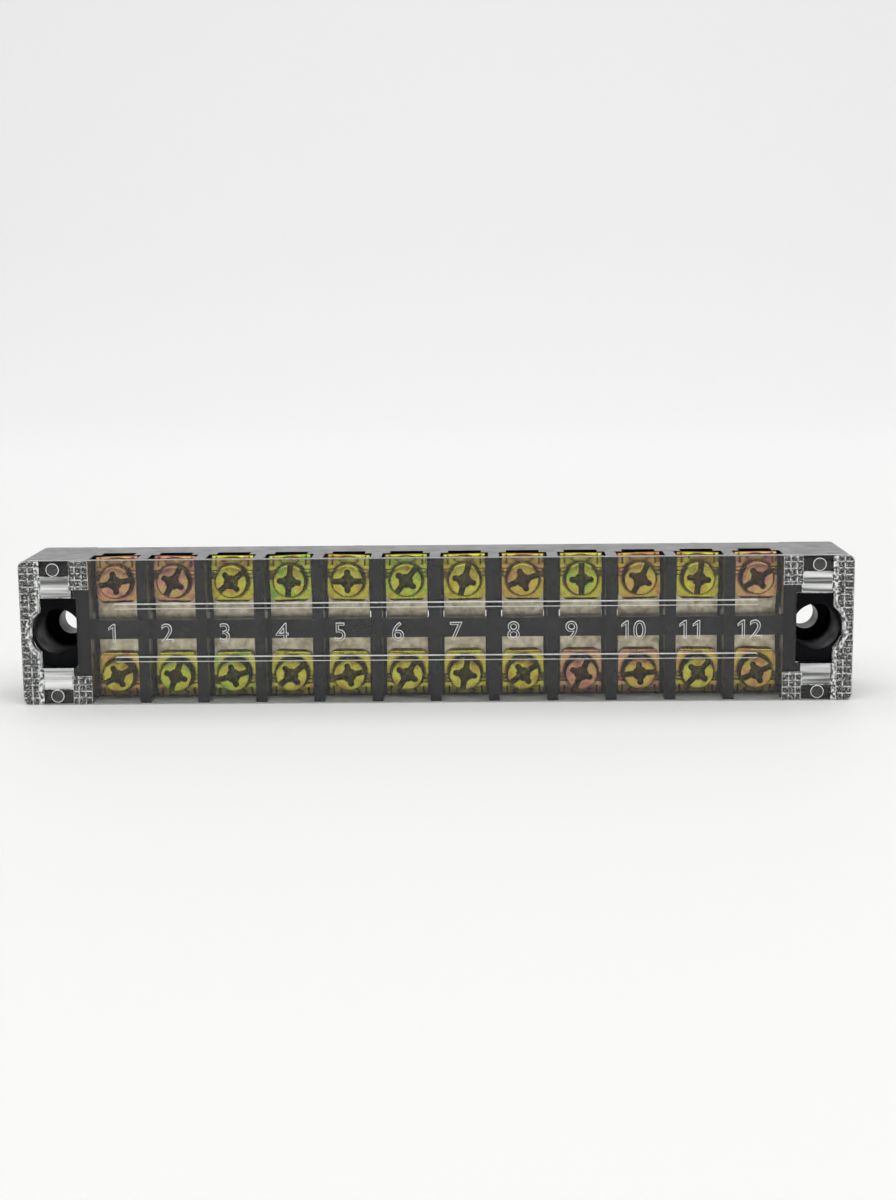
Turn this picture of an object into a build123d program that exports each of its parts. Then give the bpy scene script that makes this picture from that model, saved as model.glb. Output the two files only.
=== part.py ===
"""Two-row barrier terminal strip with a clear cover that pulls off.

The strip lies along X, its width along Z, and its mounting face is the plane y = 0.
The cover faces -Y, so a height above the mounting face is -y. All sizes are in mm.
The origin is midway between the two mounting holes.
"""

import os
from itertools import cycle
from math import cos, radians, sin

from build123d import *

# Positions along the strip
positions = 12
pitch = 8.83
barrier_thickness = 1.63
end_block_length = 10.335

# Housing
body_width = 22.0
corner_radius = 1.0
side_wall = 1.2
floor_height = 8.6
back_relief = 0.5
foot_length = 8.8
gate_mark_length = 1.2
gate_mark_width = 0.8
gate_mark_height = 0.3
gate_mark_places = (-12.4, 40.3)

# Centre ridge, the passage for the plates under it and the slot in the back
ridge_width = 2.9
ridge_thickness = 1.6
passage_clearance = 1.0
window_margin = 0.65
window_side_land = 0.33
back_slot_web = 1.1
back_slot_end_margin = 0.3

# Notches in the side walls
notch_width = 5.0
notch_depth = 1.4
lip_drop = 0.1

# Mounting holes
hole_inset = 5.3
hole_radius = 2.0
hole_wall = 4.4
pocket_radius = 3.5

# Conductor plates
plate_thickness = 1.0
plate_side_gap = 0.45
plate_end_gap = 0.1

# Clamp washers
washer_thickness = 0.8
washer_side_gap = 0.45
washer_inner_reach = 3.5
washer_outer_reach = 3.65
washer_inner_round = 1.5
washer_outer_round = 0.5

# Terminal screws
row_inset = 3.8
thread_radius = 1.5
shank_length = 6.5
head_radius = 2.5
head_height = 2.0
slot_width = 0.9
slot_depth = 0.7
cross_span = 3.5
cross_arm = 0.9
cross_depth = 1.3
thread_clearance = 0.05
washer_clearance = 0.1
well_clearance = 0.4
well_tip_gap = 1.0
screw_lift = 1.5
lift_gap = 0.1

# How far each screw and washer happens to be turned, from position 1 to the last
upper_screw_turns = (10, 62, 38, 84, 0, 52, 75, 20, 90, 64, 82, 33)
lower_screw_turns = (28, 70, 15, 40, 12, 58, 80, 35, 66, 5, 48, 24)
upper_washer_turns = (1.5, -1.0, 0.0, 2.0, -1.5, 0.5, 1.0, -0.5, 0.0, 1.5, -1.0, 0.5)
lower_washer_turns = (-1.5, 0.5, 1.0, -2.0, -1.0, -1.5, 0.5, 1.0, -0.5, 0.0, -1.5, -1.0)

# Cover
cover_thickness = 1.5
cutout_inner = 3.2
cutout_outer = 2.5
cutout_half_width = 5.3
cutout_arc_radius = 3.93
rib_width = 0.88
rib_height = 0.2
rib_offset = 4.04
rib_end_inset = 3.8
leg_width = 5.2
leg_thickness = 3.0
leg_length = 6.0
leg_taper = 1.0
leg_edge_gap = 0.15
socket_gap = 0.15
socket_tip_gap = 0.5

# Sizes that follow from the ones above
cell_width = pitch - barrier_thickness
cell_zone = (positions - 1) * pitch + cell_width
body_length = cell_zone + 2 * end_block_length
hole_x = body_length / 2 - hole_inset
inner_width = body_width - 2 * side_wall
row_z = body_width / 2 - row_inset
plate_top = floor_height + plate_thickness
washer_top = plate_top + washer_thickness
head_top = washer_top + head_height
base_height = head_top + screw_lift + lift_gap
ridge_underside = plate_top + passage_clearance
ridge_top = ridge_underside + ridge_thickness
window_width = ridge_width + 2 * window_margin
cell_reach = (body_width - ridge_width) / 2
well_floor = washer_top - shank_length - well_tip_gap
leg_z = cutout_half_width + leg_edge_gap + leg_thickness / 2

# Positions of the cells along X
cell_places = [(number - (positions - 1) / 2) * pitch for number in range(positions)]


def level(height):
    """The plane at a height above the mounting face; its local y is the part's Z."""
    return Plane.XZ.offset(height)


def seat(x, z, height, turn):
    """A plane whose axis leaves the strip at (x, z), turned about that axis."""
    angle = radians(turn)
    return Plane(origin=(x, -height, z), x_dir=(cos(angle), 0, sin(angle)), z_dir=(0, -1, 0))


def save(part, name):
    part.label = name
    export_step(part, f"parts/{name}.step")


os.makedirs("parts", exist_ok=True)

# Base: the moulded housing
with BuildPart() as base:
    with BuildSketch(level(0)) as outline:
        Rectangle(body_length, body_width)
        fillet(outline.vertices(), corner_radius)
    extrude(amount=base_height)

    # The middle of the back stands clear of the surface that the ends are screwed to
    with BuildSketch(level(0)):
        Rectangle(body_length - 2 * foot_length, body_width)
    extrude(amount=back_relief, mode=Mode.SUBTRACT)

    # Marks left by the moulding gates on the relieved back
    with BuildSketch(level(back_relief)):
        with Locations(*[(x, (body_width - gate_mark_width) / 2) for x in gate_mark_places]):
            Rectangle(gate_mark_length, gate_mark_width)
    extrude(amount=-gate_mark_height)

    # Open cells down to the top of the centre ridge, through both side walls
    with BuildSketch(level(ridge_top)):
        with GridLocations(pitch, 1, positions, 1):
            Rectangle(cell_width, body_width)
    extrude(amount=base_height - ridge_top, mode=Mode.SUBTRACT)

    # Each side of the ridge the notch goes on down to the lip that holds the plate
    lip_top = plate_top - lip_drop
    with BuildSketch(level(lip_top)):
        with GridLocations(pitch, cell_reach + ridge_width, positions, 2):
            Rectangle(cell_width, cell_reach)
    extrude(amount=ridge_top - lip_top, mode=Mode.SUBTRACT)

    # The bed of each plate, which passes under the ridge
    with BuildSketch(level(floor_height)):
        with GridLocations(pitch, 1, positions, 1):
            Rectangle(cell_width, inner_width)
    extrude(amount=ridge_underside - floor_height, mode=Mode.SUBTRACT)

    # Narrow notches below the lips
    with BuildSketch(level(floor_height - notch_depth)):
        with GridLocations(pitch, body_width - side_wall, positions, 2):
            Rectangle(notch_width, side_wall)
    extrude(amount=lip_top - floor_height + notch_depth, mode=Mode.SUBTRACT)

    # Long slot in the back, open to every cell through a window under the ridge
    with BuildSketch(level(0)):
        Rectangle(cell_zone + 2 * back_slot_end_margin, window_width)
    extrude(amount=floor_height - back_slot_web, mode=Mode.SUBTRACT)
    with BuildSketch(level(floor_height - back_slot_web)):
        with GridLocations(pitch, 1, positions, 1):
            Rectangle(cell_width - 2 * window_side_land, window_width)
    extrude(amount=back_slot_web, mode=Mode.SUBTRACT)

    # Blind square wells for the screw shanks
    well_width = 2 * (thread_radius + well_clearance)
    with BuildSketch(level(well_floor)):
        with GridLocations(pitch, 2 * row_z, positions, 2):
            Rectangle(well_width, well_width)
    extrude(amount=floor_height - well_floor, mode=Mode.SUBTRACT)

    # Mounting holes, each in a round pocket with a flat side in line with the cover's cut-out
    with Locations(level(base_height)):
        with Locations((-hole_x, 0), (hole_x, 0)):
            Hole(hole_radius, base_height)
    with BuildSketch(level(hole_wall)):
        with Locations((-hole_x, 0), (hole_x, 0)):
            Circle(pocket_radius)
        Rectangle(2 * (hole_x - cutout_inner), 2 * pocket_radius, mode=Mode.SUBTRACT)
    extrude(amount=base_height - hole_wall, mode=Mode.SUBTRACT)

    # Sockets for the legs of the cover
    socket_depth = leg_length + socket_tip_gap
    with BuildSketch(level(base_height - socket_depth)):
        with GridLocations(2 * hole_x, 2 * leg_z, 2, 2):
            Rectangle(leg_width + 2 * socket_gap, leg_thickness + 2 * socket_gap)
    extrude(amount=socket_depth, mode=Mode.SUBTRACT)
save(base.part, "base")

# Conductor plates: one flat strip in each position, with two screw holes
with BuildPart() as plates:
    with BuildSketch(level(floor_height)):
        with GridLocations(pitch, 1, positions, 1):
            Rectangle(cell_width - 2 * plate_side_gap, inner_width - 2 * plate_end_gap)
        with GridLocations(pitch, 2 * row_z, positions, 2):
            Circle(thread_radius + thread_clearance, mode=Mode.SUBTRACT)
    extrude(amount=plate_thickness)
save(plates.part, "conductor_plates")

# Cover: a flat clear plate with cut-outs over the mounting holes
with BuildPart() as cover:
    cutout_centre = hole_x + (cutout_outer - cutout_inner) / 2
    with BuildSketch(level(base_height)) as face:
        Rectangle(body_length, body_width)
        fillet(face.vertices(), corner_radius)
        with Locations((-cutout_centre, 0), (cutout_centre, 0)):
            Rectangle(cutout_inner + cutout_outer, 2 * cutout_half_width, mode=Mode.SUBTRACT)
        for side in (-1, 1):
            # Only the outer half of the circle widens the cut-out
            with BuildSketch(mode=Mode.PRIVATE) as bulge:
                with Locations((side * hole_x, 0)):
                    Circle(cutout_arc_radius)
                with Locations((side * (hole_x - cutout_arc_radius), 0)):
                    Rectangle(2 * cutout_arc_radius, 2 * cutout_arc_radius, mode=Mode.SUBTRACT)
            add(bulge.sketch, mode=Mode.SUBTRACT)
    extrude(amount=cover_thickness)

    # Two low ribs run along the outside, one each side of the numbers
    cover_top = base_height + cover_thickness
    with BuildSketch(level(cover_top)):
        with GridLocations(1, 2 * rib_offset, 1, 2):
            SlotOverall(cell_zone - 2 * rib_end_inset, rib_width)
    extrude(amount=rib_height)

    # Tapered legs that grip in the sockets, two at each end
    with BuildSketch(level(base_height)):
        with GridLocations(2 * hole_x, 2 * leg_z, 2, 2):
            Rectangle(leg_width, leg_thickness)
    extrude(amount=-leg_length, taper=leg_taper)
save(cover.part, "cover")


def save_washer(name, x, z, turn):
    """A clamp washer: rounded corners towards the ridge, a rounded edge at the wire entry."""
    outwards = turn if z > 0 else turn + 180
    bed = seat(x, z, plate_top, outwards)
    width = cell_width - 2 * washer_side_gap
    with BuildPart() as washer:
        with BuildSketch(bed) as shape:
            with Locations((0, (washer_outer_reach - washer_inner_reach) / 2)):
                Rectangle(width, washer_inner_reach + washer_outer_reach)
            fillet(shape.vertices().sort_by(Axis.Y)[:2], washer_inner_round)
            Circle(thread_radius + washer_clearance, mode=Mode.SUBTRACT)
        extrude(amount=washer_thickness)
        entry_edges = washer.edges().group_by(Axis(bed.origin, bed.y_dir))[-1]
        fillet(entry_edges.sort_by(Axis.Y)[0], washer_outer_round)
    save(washer.part, name)


def save_screw(name, x, z, turn):
    """A terminal screw with a slot and a cross recess; its thread is left smooth."""
    underside = seat(x, z, washer_top, turn)
    with BuildPart() as screw:
        with BuildSketch(underside):
            Circle(head_radius)
        extrude(amount=head_height)
        with BuildSketch(underside):
            Circle(thread_radius)
        extrude(amount=-shank_length)
        with BuildSketch(underside.offset(head_height - slot_depth)):
            Rectangle(2 * head_radius, slot_width)
        extrude(amount=slot_depth, mode=Mode.SUBTRACT)
        with BuildSketch(underside.offset(head_height - cross_depth)):
            Rectangle(cross_span, cross_arm)
            Rectangle(cross_arm, cross_span)
        extrude(amount=cross_depth, mode=Mode.SUBTRACT)
    save(screw.part, name)


rows = (
    ("upper", row_z, upper_washer_turns, upper_screw_turns),
    ("lower", -row_z, lower_washer_turns, lower_screw_turns),
)
for row, z, washer_turns, screw_turns in rows:
    places = zip(cell_places, cycle(washer_turns), cycle(screw_turns))
    for number, (x, washer_turn, screw_turn) in enumerate(places, start=1):
        save_washer(f"washer_{row}_{number:02d}", x, z, washer_turn)
        save_screw(f"screw_{row}_{number:02d}", x, z, screw_turn)
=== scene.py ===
"""The looks of a barrier terminal strip: black housing, clear cover, plated screws and washers.

The strip stands on its long side as packed: X along it, Z up, and the cover faces -Y.
"""

from math import cos, pi, radians, sin, sqrt, tau

import bmesh
import bpy
from mathutils import Matrix, Vector


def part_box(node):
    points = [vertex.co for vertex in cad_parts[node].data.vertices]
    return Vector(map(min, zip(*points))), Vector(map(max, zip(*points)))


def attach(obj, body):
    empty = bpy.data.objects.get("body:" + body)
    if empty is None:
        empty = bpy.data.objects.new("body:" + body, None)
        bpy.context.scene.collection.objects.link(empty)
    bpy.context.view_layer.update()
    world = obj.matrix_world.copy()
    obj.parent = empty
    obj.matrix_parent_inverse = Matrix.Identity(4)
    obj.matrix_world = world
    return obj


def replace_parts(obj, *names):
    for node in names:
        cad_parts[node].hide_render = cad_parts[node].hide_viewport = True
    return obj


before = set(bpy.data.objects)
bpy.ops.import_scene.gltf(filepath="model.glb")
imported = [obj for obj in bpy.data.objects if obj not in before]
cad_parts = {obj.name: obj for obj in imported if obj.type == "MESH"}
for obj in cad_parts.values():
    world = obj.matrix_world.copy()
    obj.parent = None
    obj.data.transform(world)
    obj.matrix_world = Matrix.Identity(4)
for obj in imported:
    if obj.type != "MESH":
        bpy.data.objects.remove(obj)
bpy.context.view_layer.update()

MM = 0.001

# Tolerances of a place, of joined corners, of a cut and of the way that a face looks
near = 0.01
weld = 0.001
cut_snap = 0.0001
squarely = 0.99

# Places read from the frame, in millimetres
cover_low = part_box("cover")[0] / MM
base_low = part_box("base")[0] / MM
positions = 12
rows = ("upper", "lower")
rib_height = 0.2
cover_face = cover_low.y + rib_height

# Edge rounding of the moulded and stamped pieces, and the angles in degrees that count as sharp or flat
housing_edge = 0.14
plate_edge = 0.08
cover_edge = 0.1
cover_lift = 0.02
sharp_angle = 30
shading_angle = 40
flat_angle = 1

# Terminal screws on their own axis; turns in degrees and finishes run from position 1 to the last
head_radius = 2.5
head_height = 2.0
head_round = 0.4
head_round_angles = (0, 30, 60, 90)
head_foot_chamfer = 0.06
thread_radius = 1.5
core_radius = 1.22
thread_pitch = 0.5
thread_start = -6.3
thread_turns = 10
thread_half_share = 0.45
thread_sunk = 0.02
shank_length = 6.5
tip_chamfer = 0.3
slot_width = 0.9
slot_depth = 0.75
arm_reach = 1.87
arm_width = 0.95
cross_depth = 1.35
eye_radius = 1.3
eye_foot_share = 0.4
eye_extra_depth = 0.2
recess_spare = 0.5
recess_edge = 0.05
spin_steps = 48
screw_turns = {
    "upper": (10, 62, 38, 84, 0, 52, 75, 20, 90, 64, 82, 33),
    "lower": (28, 70, 15, 40, 12, 58, 80, 35, 66, 5, 48, 24),
}
screw_finishes = {
    "upper": "rose rose olive green olive green olive gold green gold olive rose".split(),
    "lower": "olive green green olive olive olive olive olive rose gold olive gold".split(),
}

# Clamp washers; the inner end falls off in a quarter round, cut at some shares of its reach
washer_width = 6.3
washer_thickness = 0.8
top_side_start = 0.1
washer_inner_reach = 3.5
washer_outer_reach = 3.65
washer_inner_round = 1.5
washer_outer_round = 0.25
washer_bore = 1.6
washer_inner_fall = 0.7
fall_shares = (1.0, 0.8, 0.6, 0.4, 0.2, 0.1)
washer_lead_start = 2.15
washer_lead_drop = 0.45
channel_half_width = 2.5
channel_groove = 0.32
channel_depth = 0.15
grip_places = (0.3, 0.88, 1.46)
grip_width = 0.3
grip_depth = 0.14
dimple_place = 3.02
dimple_half_width = 1.55
dimple_half_height = 0.52
dimple_rim = 0.16
dimple_rise = 0.12
dimple_sunk = 0.02
washer_edge = 0.07
washer_turns = {
    "upper": (1.5, -1.0, 0.0, 2.0, -1.5, 0.5, 1.0, -0.5, 0.0, 1.5, -1.0, 0.5),
    "lower": (-1.5, 0.5, 1.0, -2.0, -1.0, -1.5, 0.5, 1.0, -0.5, 0.0, -1.5, -1.0),
}
washer_finishes = {
    "upper": "rose rose olive green olive green olive gold olive gold olive rose".split(),
    "lower": "gold olive green olive olive olive olive olive rose rose gold gold".split(),
}

# Knurled ends of the cover: raised pads between narrow grooves
knurl_pitch = 1.0
knurl_low = -10.9
knurl_rows = 22
knurl_slope = 0.09
knurl_rise = 0.1
knurl_outer = (60.05, 61.05, 62.6)
knurl_inner = (52.0, 53.0, 54.0, 54.9)
knurl_inner_low = 6.6
gate_patch_out = 61.2
gate_patches = ((-3.3, -1.7), (0.7, 2.3))

# Screw pockets of the housing and the bright border that the cover has round them
screw_hole_x = 57.2
pocket_radius = 3.5
border_inner = 59.35
border_radius = 4.5
border_reach = 5.5
border_turns = (-50, -25, 0, 25, 50)

# Streaked patches of the cover over its legs, their whitish tone painted light
leg_span = (54.7, 59.3)
leg_rise = (5.35, 8.65)
leg_edge = 0.12

# Places of the cover's materials after the clear one, and of the housing's after the satin one
SPECKLED, GRAINED, PAINTED_LEG_LIGHT, EDGE_HIGHLIGHT = range(1, 5)
DULL = 1

# Ribs along the cover, marks of the ejector pins and the numbers between the ribs
rib_offset = 4.04
rib_reach = 0.7
rib_taper = 0.66
rib_half_length = 53
ejector_place = (57.3, 9.65)
ejector_radius = 1.0
ejector_rim = 0.12
ejector_rise = 0.05
number_pitch = 8.68
first_number_x = -48.5
number_height = 2.85
number_foot = -1.4
number_slope = 0.11
number_thinning = 0.06
digit_advance = 2.0
lone_digit_shift = -0.5
sunk = 0.01

# A capital's height and the outline of a one with a flag, in shares of the font's size
cap_share = 0.72
flagged_one = ((0.33, 0), (0.33, 0.69), (0.26, 0.69), (0.08, 0.55), (0.08, 0.47), (0.24, 0.56), (0.24, 0))


def colour(code):
    """An sRGB hex colour as the linear values that a shader takes."""
    channels = [int(code[start:start + 2], 16) / 255 for start in (1, 3, 5)]
    linear = [c / 12.92 if c <= 0.04045 else ((c + 0.055) / 1.055) ** 2.4 for c in channels]
    return (*linear, 1)


def add_node(tree, kind, settings, inputs):
    """Adds a shader node; an input given as a socket is linked, and any other value is set."""
    node = tree.nodes.new(kind)
    for name, value in settings.items():
        setattr(node, name, value)
    for name, value in inputs.items():
        if isinstance(value, bpy.types.NodeSocket):
            tree.links.new(value, node.inputs[name])
        else:
            node.inputs[name].default_value = value
    return node


def new_material(name, **sockets):
    """A Principled material with its plain values; underscores stand for spaces."""
    material = bpy.data.materials.new(name)
    material.use_nodes = True
    tree = material.node_tree
    shader = tree.nodes["Principled BSDF"]
    for socket, value in sockets.items():
        shader.inputs[socket.replace("_", " ")].default_value = value
    place = add_node(tree, "ShaderNodeTexCoord", {}, {}).outputs["Object"]
    return material, tree, shader, place


def set_ramp(node, stops):
    """Gives a colour ramp its stops, each a position and an sRGB hex colour."""
    ramp = node.color_ramp
    while len(ramp.elements) < len(stops):
        ramp.elements.new(0.5)
    for stop, (position, code) in zip(ramp.elements, stops):
        stop.position = position
        stop.color = colour(code)


def per_metre(size):
    """The scale of a pattern whose grains are so many millimetres wide."""
    return 1 / (size * MM)


def moulded_black_polyester(finish, sheen, smoothest, roughest):
    """Glass-filled PBT: a deep black skin, faintly pebbled, that shines only at a low angle."""
    material, tree, shader, place = new_material(
        f"moulded_black_polyester_{finish}", IOR=1.6, Specular_Tint=colour(sheen)
    )
    flow = add_node(tree, "ShaderNodeTexNoise", {}, {"Vector": place, "Scale": per_metre(2.5)})
    tone = add_node(tree, "ShaderNodeValToRGB", {}, {"Fac": flow.outputs["Fac"]})
    set_ramp(tone, ((0.3, "#0a0b0d"), (0.7, "#131417")))
    gloss = add_node(
        tree, "ShaderNodeMapRange", {},
        {
            "Value": flow.outputs["Fac"], "From Min": 0.3, "From Max": 0.7,
            "To Min": smoothest, "To Max": roughest,
        },
    )
    pebbles = add_node(tree, "ShaderNodeTexNoise", {}, {"Vector": place, "Scale": per_metre(0.25)})
    skin = add_node(
        tree, "ShaderNodeBump", {},
        {"Height": pebbles.outputs["Fac"], "Strength": 0.06, "Distance": 0.02 * MM},
    )
    tree.links.new(tone.outputs["Color"], shader.inputs["Base Color"])
    tree.links.new(gloss.outputs["Result"], shader.inputs["Roughness"])
    tree.links.new(skin.outputs["Normal"], shader.inputs["Normal"])
    return material


def clear_polycarbonate():
    """Polished clear polycarbonate: see-through, with a trace of waviness from the mould."""
    material, tree, shader, place = new_material(
        "clear_polycarbonate", Base_Color=colour("#fbfcfb"), Roughness=0.01, IOR=1.5,
        Specular_Tint=colour("#c6c6c6"), Transmission_Weight=1.0,
    )
    waves = add_node(
        tree, "ShaderNodeTexNoise", {}, {"Vector": place, "Scale": per_metre(7.0), "Detail": 1.0}
    )
    flow = add_node(
        tree, "ShaderNodeBump", {},
        {"Height": waves.outputs["Fac"], "Strength": 0.03, "Distance": 0.2 * MM},
    )
    tree.links.new(flow.outputs["Normal"], shader.inputs["Normal"])
    return material


def grained_polycarbonate():
    """The same plastic on the pads of the grip: fine pits blur and mottle what shows through."""
    material, tree, shader, place = new_material(
        "grained_polycarbonate", Base_Color=colour("#f4f5f4"), Roughness=0.12, IOR=1.5,
        Specular_Tint=colour("#c6c6c6"),
    )
    pits = add_node(tree, "ShaderNodeTexNoise", {}, {"Vector": place, "Scale": per_metre(0.3)})
    spots = add_node(
        tree, "ShaderNodeMapRange", {},
        {
            "Value": pits.outputs["Fac"], "From Min": 0.5, "From Max": 0.68,
            "To Min": 0.97, "To Max": 0.45,
        },
    )
    tree.links.new(spots.outputs["Result"], shader.inputs["Transmission Weight"])
    skin = add_node(
        tree, "ShaderNodeBump", {},
        {"Height": pits.outputs["Fac"], "Strength": 0.6, "Distance": 0.06 * MM},
    )
    tree.links.new(skin.outputs["Normal"], shader.inputs["Normal"])
    return material


def frosted_polycarbonate(finish, clearest):
    """The same plastic made pale on slopes and edges, a painted highlight there, with specks that are clear
    up to a share.
    """
    material, tree, shader, place = new_material(
        f"frosted_polycarbonate_{finish}", Base_Color=colour("#f4f6f4"), IOR=1.5,
    )
    marks = add_node(tree, "ShaderNodeTexNoise", {}, {"Vector": place, "Scale": per_metre(0.42)})
    specks = add_node(
        tree, "ShaderNodeMapRange", {},
        {
            "Value": marks.outputs["Fac"], "From Min": 0.42, "From Max": 0.58,
            "To Min": clearest, "To Max": 0.0,
        },
    )
    tree.links.new(specks.outputs["Result"], shader.inputs["Transmission Weight"])
    gloss = add_node(
        tree, "ShaderNodeMapRange", {},
        {"Value": marks.outputs["Fac"], "From Min": 0.3, "From Max": 0.7, "To Min": 0.3, "To Max": 0.6},
    )
    tree.links.new(gloss.outputs["Result"], shader.inputs["Roughness"])
    return material


def drawn_polycarbonate():
    """The legs of the cover: whitish streaks along them, painted light that stands for the light the clear
    legs carry.
    """
    material, tree, shader, place = new_material("drawn_polycarbonate", IOR=1.5, Roughness=0.3)
    stretch = add_node(
        tree, "ShaderNodeMapping", {}, {"Vector": place, "Scale": (0.03, 0.3, 1.0)}
    )
    streaks = add_node(
        tree, "ShaderNodeTexNoise", {},
        {"Vector": stretch.outputs["Vector"], "Scale": per_metre(0.7), "Detail": 3.0},
    )
    tone = add_node(tree, "ShaderNodeValToRGB", {}, {"Fac": streaks.outputs["Fac"]})
    set_ramp(tone, ((0.38, "#8e908e"), (0.5, "#eceeec"), (0.65, "#fcfdfc")))
    veil = add_node(
        tree, "ShaderNodeMapRange", {},
        {
            "Value": streaks.outputs["Fac"], "From Min": 0.35, "From Max": 0.65,
            "To Min": 0.6, "To Max": 0.0,
        },
    )
    tree.links.new(tone.outputs["Color"], shader.inputs["Base Color"])
    tree.links.new(veil.outputs["Result"], shader.inputs["Transmission Weight"])
    return material


def tinned_brass():
    """Matt tin plating on rolled brass: a warm grey, cloudy and stained in small spots."""
    material, tree, shader, place = new_material("tinned_brass", Metallic=1.0)
    clouds = add_node(
        tree, "ShaderNodeTexNoise", {}, {"Vector": place, "Scale": per_metre(0.9), "Detail": 5.0}
    )
    tone = add_node(tree, "ShaderNodeValToRGB", {}, {"Fac": clouds.outputs["Fac"]})
    set_ramp(tone, ((0.3, "#b0a285"), (0.5, "#cfc3a8"), (0.7, "#e2d9c4")))
    gloss = add_node(
        tree, "ShaderNodeMapRange", {},
        {"Value": clouds.outputs["Fac"], "From Min": 0.3, "From Max": 0.7, "To Min": 0.45, "To Max": 0.3},
    )
    grit = add_node(tree, "ShaderNodeTexNoise", {}, {"Vector": place, "Scale": per_metre(0.18)})
    skin = add_node(
        tree, "ShaderNodeBump", {},
        {"Height": grit.outputs["Fac"], "Strength": 0.3, "Distance": 0.03 * MM},
    )
    tree.links.new(tone.outputs["Color"], shader.inputs["Base Color"])
    tree.links.new(gloss.outputs["Result"], shader.inputs["Roughness"])
    tree.links.new(skin.outputs["Normal"], shader.inputs["Normal"])
    return material


# Yellow passivation runs from green over olive and gold to rose; each has three hues
chromate_hues = {
    "green": ("#b59a40", "#b9c03c", "#93b44a"),
    "olive": ("#ae8440", "#bdb534", "#cbc850"),
    "gold": ("#b67c58", "#c4a448", "#c4ba48"),
    "rose": ("#a86c68", "#c4946c", "#bca858"),
}

# Painted shade on the plated pieces: dark in the recess and round the rim of a screw's head, down from its
# flat top, and in every narrow crevice
screw_painted_shade = ((0.0, "#ffffff"), (0.1, "#ffffff"), (0.25, "#66603e"), (1.0, "#7c7852"))
# A washer gets a milder painted shade, darker down from its top
washer_painted_shade = ((0.0, "#ffffff"), (0.4, "#f4f0e2"), (1.0, "#cfc8ac"))
crevice_painted_shade = ((0.45, "#2a2414"), (0.72, "#5e5436"), (0.94, "#ffffff"))
painted_shade_depth = 1.4
crevice_reach = 0.6


def chromated_zinc(name, finish, top, painted_depth_shade, alone):
    """Yellow-passivated zinc on steel: interference colours that drift over each piece.

    Painted shade darkens it down from its top and in its crevices, from the piece alone or also from what
    lies close to it.
    """
    material, tree, shader, place = new_material(f"chromated_zinc_{name}_{finish}", Metallic=1.0)
    drift = add_node(
        tree, "ShaderNodeTexNoise", {}, {"Vector": place, "Scale": per_metre(1.5), "Detail": 2.0}
    )
    tone = add_node(tree, "ShaderNodeValToRGB", {}, {"Fac": drift.outputs["Fac"]})
    set_ramp(tone, tuple(zip((0.34, 0.5, 0.66), chromate_hues[finish])))
    # Painted shade: darker down from the piece's flat top
    across = add_node(tree, "ShaderNodeSeparateXYZ", {}, {"Vector": place})
    depth = add_node(
        tree, "ShaderNodeMapRange", {},
        {"Value": across.outputs["Y"], "From Min": -top * MM, "From Max": (painted_shade_depth - top) * MM},
    )
    recess_shade = add_node(tree, "ShaderNodeValToRGB", {}, {"Fac": depth.outputs["Result"]})
    set_ramp(recess_shade, painted_depth_shade)
    # The two inputs of a product share one name, so they are given by their places
    shade = add_node(
        tree, "ShaderNodeVectorMath", {"operation": "MULTIPLY"},
        {0: tone.outputs["Color"], 1: recess_shade.outputs["Color"]},
    )
    # Painted shade in the crevices, darker where surfaces lie close
    crevice = add_node(
        tree, "ShaderNodeAmbientOcclusion", {"samples": 8, "only_local": alone},
        {"Distance": crevice_reach * MM},
    )
    dark = add_node(tree, "ShaderNodeValToRGB", {}, {"Fac": crevice.outputs["AO"]})
    set_ramp(dark, crevice_painted_shade)
    painted_shade_tone = add_node(
        tree, "ShaderNodeVectorMath", {"operation": "MULTIPLY"},
        {0: shade.outputs["Vector"], 1: dark.outputs["Color"]},
    )
    gloss = add_node(
        tree, "ShaderNodeMapRange", {},
        {"Value": drift.outputs["Fac"], "From Min": 0.3, "From Max": 0.7, "To Min": 0.18, "To Max": 0.32},
    )
    dents = add_node(tree, "ShaderNodeTexNoise", {}, {"Vector": place, "Scale": per_metre(0.5)})
    skin = add_node(
        tree, "ShaderNodeBump", {},
        {"Height": dents.outputs["Fac"], "Strength": 0.5, "Distance": 0.06 * MM},
    )
    tree.links.new(painted_shade_tone.outputs["Vector"], shader.inputs["Base Color"])
    tree.links.new(gloss.outputs["Result"], shader.inputs["Roughness"])
    tree.links.new(skin.outputs["Normal"], shader.inputs["Normal"])
    return material


# Painted light on the paper: its tone from the floor under the strip to the top of the backdrop
paper_painted_light = ((0.0, "#f5f5f3"), (0.35, "#f9f9f9"), (0.6, "#f6f6f6"), (0.8, "#f3f3f3"), (1.0, "#f3f3f3"))
paper_reach = 1.25


def background_paper():
    """Smooth matt background paper with painted light: it darkens a little as it rises behind the strip."""
    material, tree, shader, place = new_material("background_paper", Roughness=0.6)
    along = add_node(tree, "ShaderNodeSeparateXYZ", {}, {"Vector": place})
    way = add_node(
        tree, "ShaderNodeMath", {"operation": "ADD"}, {0: along.outputs["Y"], 1: along.outputs["Z"]}
    )
    share = add_node(
        tree, "ShaderNodeMapRange", {},
        {"Value": way.outputs["Value"], "From Min": 0.0, "From Max": paper_reach},
    )
    tone = add_node(tree, "ShaderNodeValToRGB", {}, {"Fac": share.outputs["Result"]})
    set_ramp(tone, paper_painted_light)
    tree.links.new(tone.outputs["Color"], shader.inputs["Base Color"])
    return material


def add_piece(name, shape, body, materials):
    """Turns a bmesh in millimetres into a piece that rides on a body."""
    bmesh.ops.scale(shape, vec=(MM, MM, MM), verts=shape.verts)
    mesh = bpy.data.meshes.new(name)
    shape.to_mesh(mesh)
    shape.free()
    return show_mesh(name, mesh, body, materials)


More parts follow.
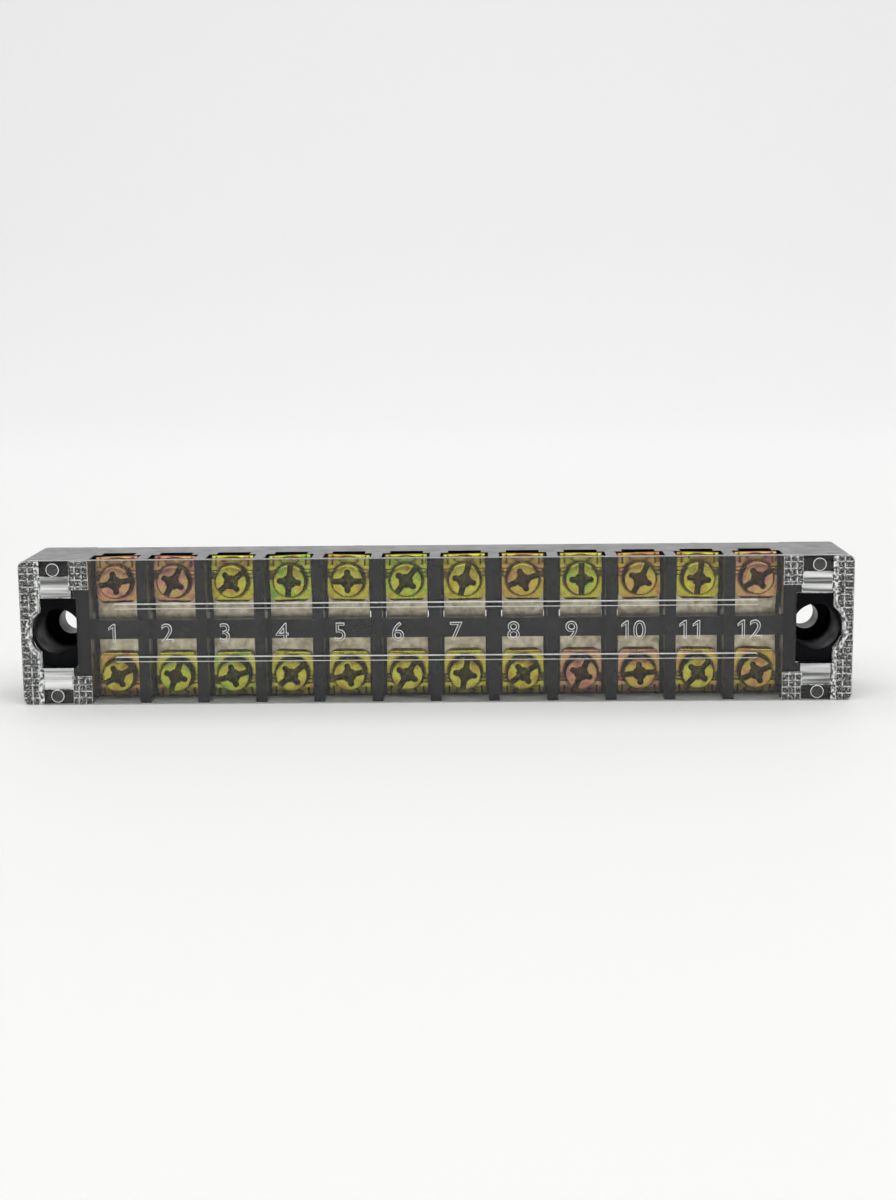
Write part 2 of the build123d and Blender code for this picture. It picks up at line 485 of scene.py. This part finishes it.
def show_mesh(name, mesh, body, materials):
    """Puts a finished mesh in the scene, smooth except at its sharp edges."""
    mesh.shade_smooth()
    mesh.set_sharp_from_angle(angle=radians(shading_angle))
    for material in materials:
        mesh.materials.append(material)
    piece = bpy.data.objects.new(name, mesh)
    bpy.context.scene.collection.objects.link(piece)
    piece.modifiers.new("even_shading", "WEIGHTED_NORMAL").keep_sharp = True
    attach(piece, body)
    return piece


def merged_copy(node):
    """A CAD node in millimetres, with its loose triangles joined."""
    shape = bmesh.new()
    shape.from_mesh(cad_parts[node].data)
    bmesh.ops.scale(shape, vec=(1 / MM,) * 3, verts=shape.verts)
    bmesh.ops.remove_doubles(shape, verts=shape.verts, dist=weld)
    return shape


def make_faces_whole(shape):
    """Joins the triangles of each flat face."""
    bmesh.ops.dissolve_limit(shape, angle_limit=radians(flat_angle), verts=shape.verts, edges=shape.edges)


def round_edges(shape, width, segments=2, kept=lambda place: False):
    """Rounds every edge where two faces meet sharply, apart from the kept ones."""
    sharp = [
        edge for edge in shape.edges
        if edge.calc_face_angle(0) > radians(sharp_angle) and not kept(edge.verts[0].co)
    ]
    bmesh.ops.bevel(
        shape, geom=sharp, offset=width, offset_type="OFFSET", segments=segments, profile=0.5,
        affect="EDGES", clamp_overlap=True, material=-1,
    )


def build_housing(satin, dull):
    """The black base with its moulded edges rounded; the screw pockets have the duller finish."""
    shape = merged_copy("base")
    make_faces_whole(shape)
    round_edges(shape, housing_edge)
    for face in shape.faces:
        middle = face.calc_center_median()
        if Vector((abs(middle.x) - screw_hole_x, middle.z)).length < pocket_radius + housing_edge:
            face.material_index = DULL
    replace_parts(add_piece("housing", shape, "base", [satin, dull]), "base")


def build_plates(material):
    """The twelve conductor plates with their sheared edges eased."""
    shape = merged_copy("conductor_plates")
    make_faces_whole(shape)
    round_edges(shape, plate_edge)
    piece = add_piece("contact_plates", shape, "base", [material])
    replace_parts(piece, "conductor_plates")


def in_rib(place):
    """Whether a place lies where one of the two ribs runs along the cover."""
    return abs(abs(place.z) - rib_offset) < rib_reach and abs(place.x) < rib_half_length


def is_between_ribs(place):
    """Whether a place on the cover's outside lies in the strip between the two ribs."""
    return abs(place.x) < knurl_inner[0] and abs(place.z) < rib_offset


def in_border(place):
    """Whether a place lies in the bright border round the outer edge of a cut-out."""
    out = abs(place.x) - screw_hole_x
    beside = border_inner < abs(place.x) < knurl_outer[0]
    return beside or (out > 0 and Vector((out, place.z)).length < border_radius)


def in_leg_patch(place):
    """Whether a place on the cover's outside lies over one of its legs."""
    along, up = abs(place.x), abs(place.z)
    return leg_span[0] < along < leg_span[1] and leg_rise[0] < up < leg_rise[1]


def in_patch(middle):
    """Whether a place on the cover's outside lies in one of its knurled patches."""
    out, up = abs(middle.x), abs(middle.z)
    if in_border(middle):
        return False
    return out > knurl_outer[0] or (knurl_inner[0] < out < knurl_inner[-1] and up > knurl_inner_low)


def outside_faces(shape, wanted):
    """The flat faces of the cover's outside whose middle is wanted."""
    return [
        face for face in shape.faces
        if face.normal.y < -squarely
        and abs(face.calc_center_median().y - cover_face) < near
        and wanted(face.calc_center_median())
    ]


def cut_faces(shape, faces, place, normal):
    """Cuts some faces of a shape along a plane; each corner and edge is given once, in a fixed order."""
    edges = dict.fromkeys(edge for face in faces for edge in face.edges)
    verts = dict.fromkeys(vert for face in faces for vert in face.verts)
    bmesh.ops.bisect_plane(
        shape, geom=[*verts, *edges, *faces], dist=cut_snap, plane_co=place, plane_no=normal
    )


def cut_outside(shape, wanted, place, normal):
    """Cuts some faces of the cover's outside along a plane."""
    cut_faces(shape, outside_faces(shape, wanted), place, normal)


def pad_of(middle):
    """The column and row of the knurl that a place lies in."""
    lines = knurl_outer if abs(middle.x) > knurl_outer[0] else knurl_inner
    column = sum(abs(middle.x) > line for line in lines)
    row = int((middle.z - knurl_low) / knurl_pitch)
    return (middle.x > 0, lines, column, row)


def is_gate_patch(middle):
    """Whether a place lies where the moulding gates were trimmed off, at the right end."""
    return middle.x > gate_patch_out and any(low < middle.z < high for low, high in gate_patches)


def cut_knurl(shape):
    """Cuts the end patches of the cover's outside into raised pads; the gate patches stay flush."""
    for side in (-1, 1):
        for line in (*knurl_inner, *knurl_outer[:-1]):
            cut_outside(shape, lambda middle: True, (side * line, 0, 0), (1, 0, 0))
    for side in (-1, 1):
        cut_outside(
            shape, lambda middle: knurl_inner[0] < abs(middle.x) < knurl_inner[-1],
            (0, 0, side * knurl_inner_low), (0, 0, 1),
        )
        cut_outside(shape, lambda middle: True, (side * border_inner, 0, 0), (1, 0, 0))
        # The large face is split along the ribs, because it can't hold them as islands
        cut_outside(
            shape, lambda middle: abs(middle.x) < knurl_inner[0], (0, 0, side * rib_offset), (0, 0, 1)
        )
    bmesh.ops.dissolve_faces(shape, faces=outside_faces(shape, is_between_ribs), use_verts=False)
    for row in range(knurl_rows + 1):
        cut_outside(
            shape, lambda middle: in_border(middle) or in_patch(middle),
            (0, 0, knurl_low + row * knurl_pitch), (0, 0, 1),
        )
    for side in (-1, 1):
        for turn in border_turns:
            way = Vector((side * cos(radians(turn)), 0, sin(radians(turn))))
            cut_outside(
                shape, lambda middle: border_inner < side * middle.x and abs(middle.z) < border_reach,
                Vector((side * screw_hole_x, 0, 0)) + border_radius * way, way,
            )
    # The border round each cut-out takes the pale speckled plastic, a painted highlight
    for face in outside_faces(shape, in_border):
        face.material_index = SPECKLED
    parts = {}
    for face in outside_faces(shape, in_patch):
        parts.setdefault(pad_of(face.calc_center_median()), []).append(face)
    for faces in parts.values():
        bmesh.ops.dissolve_faces(shape, faces=faces, use_verts=False)
    fields = outside_faces(shape, in_patch)
    trimmed = [face for face in fields if is_gate_patch(face.calc_center_median())]
    pads = [face for face in fields if face not in trimmed]
    slopes = bmesh.ops.inset_individual(
        shape, faces=pads, thickness=knurl_slope, depth=knurl_rise, use_even_offset=True
    )["faces"]
    for face in (*pads, *trimmed):
        face.material_index = GRAINED
    # The slopes of the pads take the pale speckled plastic, a painted highlight
    for face in slopes:
        face.material_index = SPECKLED


def mark_legs(shape):
    """Sinks a shallow streaked patch into the cover's outside over each of its legs."""
    for side in (-1, 1):
        for line in leg_span:
            cut_outside(shape, lambda middle: not in_patch(middle), (side * line, 0, 0), (1, 0, 0))
        for line in leg_rise:
            cut_outside(
                shape, lambda middle: leg_span[0] < abs(middle.x) < leg_span[1],
                (0, 0, side * line), (0, 0, 1),
            )
    faces = outside_faces(shape, in_leg_patch)
    whole = bmesh.ops.dissolve_faces(shape, faces=faces, use_verts=False)["region"]
    slopes = bmesh.ops.inset_individual(
        shape, faces=whole, thickness=leg_edge, depth=-leg_edge / 2
    )["faces"]
    # The patch gets whitish streaks of painted light, and its slopes the pale plastic of painted highlights
    for face in whole:
        face.material_index = PAINTED_LEG_LIGHT
    for face in slopes:
        face.material_index = SPECKLED


def build_cover(clear, speckled, grained, leg_light, edge_highlight):
    """The clear cover with rounded edges, knurled ends, rib flanks with painted highlights and streaked
    legs with painted light.
    """
    shape = merged_copy("cover")
    for vert in shape.verts:
        # The back face keeps just clear of the housing, so that the two do not flicker
        if abs(vert.co.y - base_low.y) < weld:
            vert.co.y -= cover_lift
    make_faces_whole(shape)
    for vert in shape.verts:
        # The ribs get sloping flanks, which catch the light as a pair of lines
        if vert.co.y < cover_face - rib_height / 2:
            middle = rib_offset if vert.co.z > 0 else -rib_offset
            vert.co.z = middle + rib_taper * (vert.co.z - middle)
    shape.normal_update()
    round_edges(shape, cover_edge, kept=lambda place: place.y < cover_face + near and in_rib(place))
    shape.normal_update()
    # The rib flanks take the pale plastic, a painted highlight along each rib
    for face in shape.faces:
        middle = face.calc_center_median()
        if middle.y < cover_face - near and in_rib(middle) and abs(face.normal.y) < squarely:
            face.material_index = EDGE_HIGHLIGHT
    cut_knurl(shape)
    mark_legs(shape)
    materials = [clear, speckled, grained, leg_light, edge_highlight]
    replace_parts(add_piece("clear_cover", shape, "cover", materials), "cover")


def build_ejector_marks(clear, edge_highlight):
    """Round marks of the ejector pins near the cover's corners."""
    for number, (x, z) in enumerate([(sx, sz) for sx in (-1, 1) for sz in (1, -1)], start=1):
        shape = bmesh.new()
        disc = bmesh.ops.create_cone(
            shape, cap_ends=True, segments=32, radius1=ejector_radius,
            radius2=ejector_radius - ejector_rim, depth=ejector_rise,
        )["verts"]
        bmesh.ops.rotate(shape, verts=disc, matrix=Matrix.Rotation(pi / 2, 3, "X"))
        place = (x * ejector_place[0], cover_face - ejector_rise / 2 + sunk, z * ejector_place[1])
        bmesh.ops.translate(shape, verts=disc, vec=place)
        shape.normal_update()
        # The sloping rims take the pale plastic, a painted highlight; the flat faces stay clear
        for face in shape.faces:
            face.material_index = 0 if abs(face.normal.y) < squarely else 1
        add_piece(f"ejector_mark_{number}", shape, "cover", [edge_highlight, clear])


def mesh_of(holder):
    """The finished mesh of an object with its modifiers; the object is used up."""
    bpy.context.view_layer.update()
    ready = holder.evaluated_get(bpy.context.evaluated_depsgraph_get())
    mesh = bpy.data.meshes.new_from_object(ready)
    bpy.data.objects.remove(holder)
    return mesh


def digit_curve(name, digit):
    """A digit of the built-in font, or a one with a flag, which that font lacks."""
    em = number_height / cap_share * MM
    if digit == "1":
        curve = bpy.data.curves.new(name, "CURVE")
        curve.dimensions = "2D"
        curve.fill_mode = "BOTH"
        outline = curve.splines.new("POLY")
        outline.points.add(len(flagged_one) - 1)
        for point, (x, y) in zip(outline.points, flagged_one):
            point.co = (x * em, y * em, 0, 1)
        outline.use_cyclic_u = True
    else:
        curve = bpy.data.curves.new(name, "FONT")
        curve.body = digit
        curve.size = em
    curve.bevel_depth = number_slope * MM
    curve.offset = -number_thinning * MM
    curve.bevel_resolution = 0
    return curve


def build_numbers(clear, edge_highlight):
    """Position numbers in low relief on the cover: clear tops inside bright sloping edges."""
    for number in range(1, positions + 1):
        digits = str(number)
        middle = first_number_x + (number - 1) * number_pitch
        if 1 < number < 10:
            middle += lone_digit_shift
        for index, digit in enumerate(digits):
            name = f"number_{number:02d}_digit_{index + 1}"
            holder = bpy.data.objects.new(name, digit_curve(name, digit))
            bpy.context.scene.collection.objects.link(holder)
            mesh = mesh_of(holder)
            for vert in mesh.vertices:
                vert.co.z = max(vert.co.z, 0)
            x = middle + (index - len(digits) / 2) * digit_advance
            place = Matrix.Translation(Vector((x, cover_face + sunk, number_foot)) * MM)
            mesh.transform(place @ Matrix.Rotation(pi / 2, 4, "X"))
            # The sloping edges take the pale plastic, a painted highlight; the tops stay clear
            for polygon in mesh.polygons:
                polygon.material_index = 0 if abs(polygon.normal.y) > squarely else 1
            show_mesh(name, mesh, "cover", [clear, edge_highlight])


def solid_object(name, shape):
    """A bmesh as a scene object, for a Boolean or for its modifiers to be applied."""
    mesh = bpy.data.meshes.new(name)
    shape.to_mesh(mesh)
    shape.free()
    piece = bpy.data.objects.new(name, mesh)
    bpy.context.scene.collection.objects.link(piece)
    return piece


def cut_and_ease(body, cutter, edge):
    """The mesh of a body less a cutter, with its edges eased; both objects are used up."""
    cut = body.modifiers.new("cut", "BOOLEAN")
    cut.operation = "DIFFERENCE"
    cut.solver = "EXACT"
    cut.use_self = True
    cut.object = cutter
    ease = body.modifiers.new("ease", "BEVEL")
    ease.width = edge
    ease.segments = 2
    ease.limit_method = "ANGLE"
    ease.angle_limit = radians(sharp_angle)
    mesh = mesh_of(body)
    bpy.data.objects.remove(cutter)
    return mesh


def add_post(shape, place, radius, foot_radius, top, depth):
    """A round post across the recess, narrower at its bottom."""
    post = bmesh.ops.create_cone(
        shape, cap_ends=True, segments=16, radius1=foot_radius, radius2=radius, depth=depth
    )["verts"]
    bmesh.ops.translate(shape, vec=(*place, top - depth / 2), verts=post)


def add_bar(shape, span, width, top, depth, turn):
    """A straight bar across the screw's axis."""
    bar = bmesh.ops.create_cube(shape, size=1)["verts"]
    bmesh.ops.scale(shape, vec=(span, width, depth), verts=bar)
    bmesh.ops.translate(shape, vec=(0, 0, top - depth / 2), verts=bar)
    bmesh.ops.rotate(shape, verts=bar, matrix=Matrix.Rotation(turn, 3, "Z"))


def recess_shape():
    """What is cut from the head: a slot right across and a cross with rounded arms."""
    recess = bmesh.new()
    top = head_height + recess_spare
    depth = cross_depth + recess_spare
    add_bar(recess, 3 * head_radius, slot_width, top, slot_depth + recess_spare, 0.0)
    tip = arm_reach - arm_width / 2
    for turn in (0.0, pi / 2):
        add_bar(recess, 2 * tip, arm_width, top, depth, turn)
    for place in ((tip, 0), (-tip, 0), (0, tip), (0, -tip)):
        add_post(recess, place, arm_width / 2, arm_width / 2, top, depth)
    add_post(recess, (0, 0), eye_radius, eye_foot_share * eye_radius, top, depth + eye_extra_depth)
    return recess


def screw_mesh():
    """A terminal screw on its own axis, head up, its seat at the origin."""
    shape = bmesh.new()
    corner = [
        (head_radius - head_round * (1 - sin(angle)), head_height - head_round * (1 - cos(angle)))
        for angle in map(radians, head_round_angles)
    ]
    outline = [(0, head_height), *corner, (head_radius, head_foot_chamfer)]
    outline += [(head_radius - head_foot_chamfer, 0), (core_radius, 0)]
    outline += [(core_radius, tip_chamfer - shank_length)]
    outline += [(core_radius - tip_chamfer, -shank_length), (0, -shank_length)]
    verts = [shape.verts.new((radius, 0, height)) for radius, height in outline]
    edges = [shape.edges.new(pair) for pair in zip(verts, verts[1:])]
    bmesh.ops.spin(
        shape, geom=verts + edges, cent=(0, 0, 0), axis=(0, 0, 1), angle=tau, steps=spin_steps,
        use_merge=True,
    )
    bmesh.ops.remove_doubles(shape, verts=shape.verts, dist=weld)
    bmesh.ops.recalc_face_normals(shape, faces=shape.faces)
    body = solid_object("screw_body", shape)
    mesh = cut_and_ease(body, solid_object("screw_recess", recess_shape()), recess_edge)

    whole = bmesh.new()
    whole.from_mesh(mesh)
    add_thread(whole)
    whole.to_mesh(mesh)
    whole.free()
    return mesh


def add_thread(shape):
    """A thread ridge wound round the core, from near the tip up towards the head."""
    steps = spin_steps // 2
    half = thread_half_share * thread_pitch
    foot = core_radius - thread_sunk
    section = ((foot, -half), (thread_radius, 0), (foot, half))
    verts = [shape.verts.new((radius, 0, thread_start + half + up)) for radius, up in section]
    edges = [shape.edges.new((verts[i], verts[(i + 1) % 3])) for i in range(3)]
    wound = bmesh.ops.spin(
        shape, geom=verts + edges, cent=(0, 0, 0), axis=(0, 0, 1),
        dvec=(0, 0, thread_pitch / steps), angle=tau * thread_turns, steps=steps * thread_turns,
    )
    end_edges = [item for item in wound["geom_last"] if isinstance(item, bmesh.types.BMEdge)]
    bmesh.ops.contextual_create(shape, geom=edges)
    bmesh.ops.contextual_create(shape, geom=end_edges)
    bmesh.ops.recalc_face_normals(shape, faces=shape.faces)


def cut_across(shape, place):
    """Cuts a washer's shape across its length."""
    cut_faces(shape, shape.faces[:], (0, place, 0), (0, 1, 0))


def cut_along(shape, place):
    """Cuts the half of a washer's shape where the wire comes in along its length."""
    half = [face for face in shape.faces if face.calc_center_median().y > 0]
    cut_faces(shape, half, (place, 0, 0), (1, 0, 0))


def on_top(vert):
    """Whether a corner of a washer's shape belongs to its top."""
    return vert.co.z > top_side_start


def lead_drop(place):
    """How far the washer's top lies back at a place along the lead-in."""
    share = (place - washer_lead_start) / (washer_outer_reach - washer_lead_start)
    return washer_lead_drop * share


def add_dimple_rim(shape):
    """The raised rim of the shallow dimple that centres the wire under the washer."""
    ring = [
        shape.verts.new((dimple_half_width + out, 0, washer_thickness + up))
        for out, up in ((-dimple_rim, -dimple_sunk), (-dimple_rim / 2, dimple_rise), (0, -dimple_sunk))
    ]
    edges = [shape.edges.new((ring[i], ring[(i + 1) % 3])) for i in range(3)]
    first = len(shape.verts) - len(ring)
    bmesh.ops.spin(
        shape, geom=ring + edges, cent=(0, 0, 0), axis=(0, 0, 1), angle=tau, steps=spin_steps,
        use_merge=True,
    )
    shape.verts.ensure_lookup_table()
    rim = shape.verts[first:]
    bmesh.ops.scale(shape, vec=(1, dimple_half_height / dimple_half_width, 1), verts=rim)
    bmesh.ops.translate(shape, vec=(0, dimple_place, 0), verts=rim)
    for vert in rim:
        vert.co.z -= max(0, lead_drop(vert.co.y))
    bmesh.ops.recalc_face_normals(shape, faces=shape.faces)


def washer_mesh():
    """A clamp washer on its own axis, its bed at the origin and the wire entry along Y."""
    shape = bmesh.new()
    bmesh.ops.create_cube(shape, size=1)
    length = washer_inner_reach + washer_outer_reach
    bmesh.ops.scale(shape, vec=(washer_width, length, washer_thickness), verts=shape.verts)
    middle = (washer_outer_reach - washer_inner_reach) / 2
    bmesh.ops.translate(shape, vec=(0, middle, washer_thickness / 2), verts=shape.verts)
    uprights = [
        edge for edge in shape.edges
        if abs(edge.verts[0].co.z - edge.verts[1].co.z) > near and edge.verts[0].co.y < middle
    ]
    bmesh.ops.bevel(
        shape, geom=uprights, offset=washer_inner_round, offset_type="OFFSET", segments=8,
        profile=0.5, affect="EDGES", material=-1,
    )
    lip = [
        edge for edge in shape.edges
        if all(vert.co.y > washer_outer_reach - near and on_top(vert) for vert in edge.verts)
    ]
    bmesh.ops.bevel(
        shape, geom=lip, offset=washer_outer_round, offset_type="OFFSET", segments=6,
        profile=0.5, affect="EDGES", material=-1,
    )
    # The top is rounded off towards the ridge, and leans back towards the side where the wire comes in
    cut_across(shape, washer_lead_start)
    for share in fall_shares:
        cut_across(shape, share * washer_inner_fall - washer_inner_reach)
    for vert in shape.verts:
        inward = washer_inner_fall - washer_inner_reach - vert.co.y
        if on_top(vert) and inward > 0:
            vert.co.z -= washer_inner_fall - sqrt(max(0, washer_inner_fall ** 2 - inward ** 2))
        if on_top(vert) and vert.co.y > washer_lead_start:
            vert.co.z = max(top_side_start, vert.co.z - lead_drop(vert.co.y))
    for side in (-1, 1):
        for edge in (-0.5, 0, 0.5):
            cut_along(shape, side * channel_half_width + edge * channel_groove)
        bottom = [
            vert for vert in shape.verts
            if abs(vert.co.x - side * channel_half_width) < near and on_top(vert) and vert.co.y > 0
        ]
        bmesh.ops.translate(shape, vec=(0, 0, -channel_depth), verts=bottom)
    for place in grip_places:
        for side in (-0.5, 0, 0.5):
            cut_across(shape, place + side * grip_width)
        bottom = [
            vert for vert in shape.verts
            if abs(vert.co.y - place) < near and vert.co.z > washer_thickness - near
            and abs(vert.co.x) > channel_half_width
        ]
        bmesh.ops.translate(shape, vec=(0, 0, -grip_depth), verts=bottom)
    body = solid_object("washer_body", shape)
    bore = bmesh.new()
    bmesh.ops.create_cone(
        bore, cap_ends=True, segments=32, radius1=washer_bore, radius2=washer_bore,
        depth=4 * washer_thickness,
    )
    mesh = cut_and_ease(body, solid_object("washer_bore", bore), washer_edge)

    whole = bmesh.new()
    whole.from_mesh(mesh)
    add_dimple_rim(whole)
    whole.to_mesh(mesh)
    whole.free()
    return mesh


def seat(x, z, height, turn):
    """Takes a piece from its own axis to its terminal, with its head towards the cover."""
    axes = Matrix.Rotation(pi / 2, 4, "X") @ Matrix.Rotation(radians(turn), 4, "Z")
    return Matrix.Translation((x * MM, -height * MM, z * MM)) @ Matrix.Scale(MM, 4) @ axes


def place_terminal_piece(kind, node, mesh, place, material):
    """One copy of a screw or washer at its terminal, in place of its CAD node."""
    copy = mesh.copy()
    copy.transform(place)
    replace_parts(show_mesh(kind, copy, node, [material]), node)


def build_terminals():
    """A screw and a washer on each of the 24 terminals, turned as the CAD ones are."""
    head_top = -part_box("screw_upper_01")[0].y / MM
    washer_top = head_top - head_height
    screw_looks = {
        name: chromated_zinc("screw", name, head_top, screw_painted_shade, True) for name in chromate_hues
    }
    washer_looks = {
        name: chromated_zinc("washer", name, washer_top, washer_painted_shade, False) for name in chromate_hues
    }
    screw, washer = screw_mesh(), washer_mesh()
    for row in rows:
        flip = 0 if row == "upper" else 180
        for index in range(positions):
            tag = f"{row}_{index + 1:02d}"
            low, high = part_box(f"screw_{tag}")
            x, z = (low + high).x / 2 / MM, (low + high).z / 2 / MM
            place_terminal_piece(
                f"terminal_screw_{tag}", f"screw_{tag}", screw,
                seat(x, z, washer_top, screw_turns[row][index]),
                screw_looks[screw_finishes[row][index]],
            )
            place_terminal_piece(
                f"clamp_washer_{tag}", f"washer_{tag}", washer,
                seat(x, z, washer_top - washer_thickness, washer_turns[row][index] + flip),
                washer_looks[washer_finishes[row][index]],
            )


def build_studio():
    """Pale floor that sweeps up into a backdrop, in metres."""
    floor = base_low.z * MM
    reach, bend_start, bend, height = 3.0, 0.62, 0.5, 3.0
    shape = bmesh.new()
    corner = shape.verts.new((-reach, bend_start, floor))
    front = shape.verts.new((-reach, -reach, floor))
    top = shape.verts.new((-reach, bend_start + bend, floor + height))
    foot = shape.verts.new((-reach, bend_start + bend, floor + bend))
    for ends in ((front, corner), (foot, top)):
        shape.edges.new(ends)
    bmesh.ops.spin(
        shape, geom=[corner], cent=(-reach, bend_start, floor + bend), axis=(1, 0, 0),
        angle=pi / 2, steps=spin_steps,
    )
    bmesh.ops.remove_doubles(shape, verts=shape.verts, dist=MM)
    sides = bmesh.ops.extrude_edge_only(shape, edges=shape.edges[:])["geom"]
    bmesh.ops.translate(
        shape, vec=(2 * reach, 0, 0), verts=[item for item in sides if isinstance(item, bmesh.types.BMVert)]
    )
    bmesh.ops.recalc_face_normals(shape, faces=shape.faces)
    mesh = bpy.data.meshes.new("studio_sweep")
    shape.to_mesh(mesh)
    shape.free()
    mesh.shade_smooth()
    mesh.materials.append(background_paper())
    sweep = bpy.data.objects.new("studio_sweep", mesh)
    bpy.context.scene.collection.objects.link(sweep)


def add_softbox(name, place, aim, size, power):
    """A large soft lamp aimed at a point."""
    lamp = bpy.data.lights.new(name, "AREA")
    lamp.shape = "RECTANGLE"
    lamp.size, lamp.size_y = size
    lamp.energy = power
    holder = bpy.data.objects.new(name, lamp)
    holder.location = place
    holder.rotation_euler = (Vector(aim) - Vector(place)).to_track_quat("-Z", "Y").to_euler()
    bpy.context.scene.collection.objects.link(holder)


def build_lights():
    """A room that is bright overhead and behind the strip and dim behind the camera."""
    world = bpy.data.worlds.new("studio_room")
    world.use_nodes = True
    tree = world.node_tree
    way = add_node(tree, "ShaderNodeTexCoord", {}, {}).outputs["Generated"]
    # How far a direction leans up and back, away from the dim side of the room
    lean = add_node(
        tree, "ShaderNodeVectorMath", {"operation": "DOT_PRODUCT"}, {0: way, 1: (0, 0.5, 0.87)}
    )
    level = add_node(
        tree, "ShaderNodeMapRange", {},
        {"Value": lean.outputs["Value"], "From Min": -0.6, "From Max": 0.6, "To Min": 0.16, "To Max": 0.77},
    )
    tree.links.new(level.outputs["Result"], tree.nodes["Background"].inputs["Strength"])
    tree.nodes["Background"].inputs["Color"].default_value = colour("#ffffff")
    bpy.context.scene.world = world
    add_softbox("overhead_softbox", (0.1, -0.52, 0.8), (0, 0.1, 0), (1.4, 0.6), 4.5)
    add_softbox("backdrop_softbox", (0, 0.5, 0.9), (0, 0.75, 0.1), (1.8, 0.5), 3.0)


def build_camera():
    """The photograph's view, fitted to the strip's corners."""
    place = Vector((7.279, -285.67, 49.006)) * MM
    turn, dip, tilt = radians(1.126), radians(9.316), radians(-0.595)
    lens = bpy.data.cameras.new("camera")
    lens.lens = 54.9
    lens.clip_start = 0.01
    camera = bpy.data.objects.new("camera", lens)
    axes = Matrix.Rotation(turn, 4, "Z") @ Matrix.Rotation(pi / 2 - dip, 4, "X")
    camera.matrix_world = Matrix.Translation(place) @ axes @ Matrix.Rotation(tilt, 4, "Z")
    bpy.context.scene.collection.objects.link(camera)
    bpy.context.scene.camera = camera


clear, edge_highlight = clear_polycarbonate(), frosted_polycarbonate("even", 0.3)
build_housing(
    moulded_black_polyester("satin", "#959595", 0.16, 0.26),
    moulded_black_polyester("dull", "#4c4c4c", 0.3, 0.5),
)
build_plates(tinned_brass())
build_cover(
    clear, frosted_polycarbonate("speckled", 0.95), grained_polycarbonate(), drawn_polycarbonate(), edge_highlight
)
build_ejector_marks(clear, edge_highlight)
build_numbers(clear, edge_highlight)
build_terminals()
build_studio()
build_lights()
build_camera()
bpy.context.scene.view_settings.view_transform = "Standard"
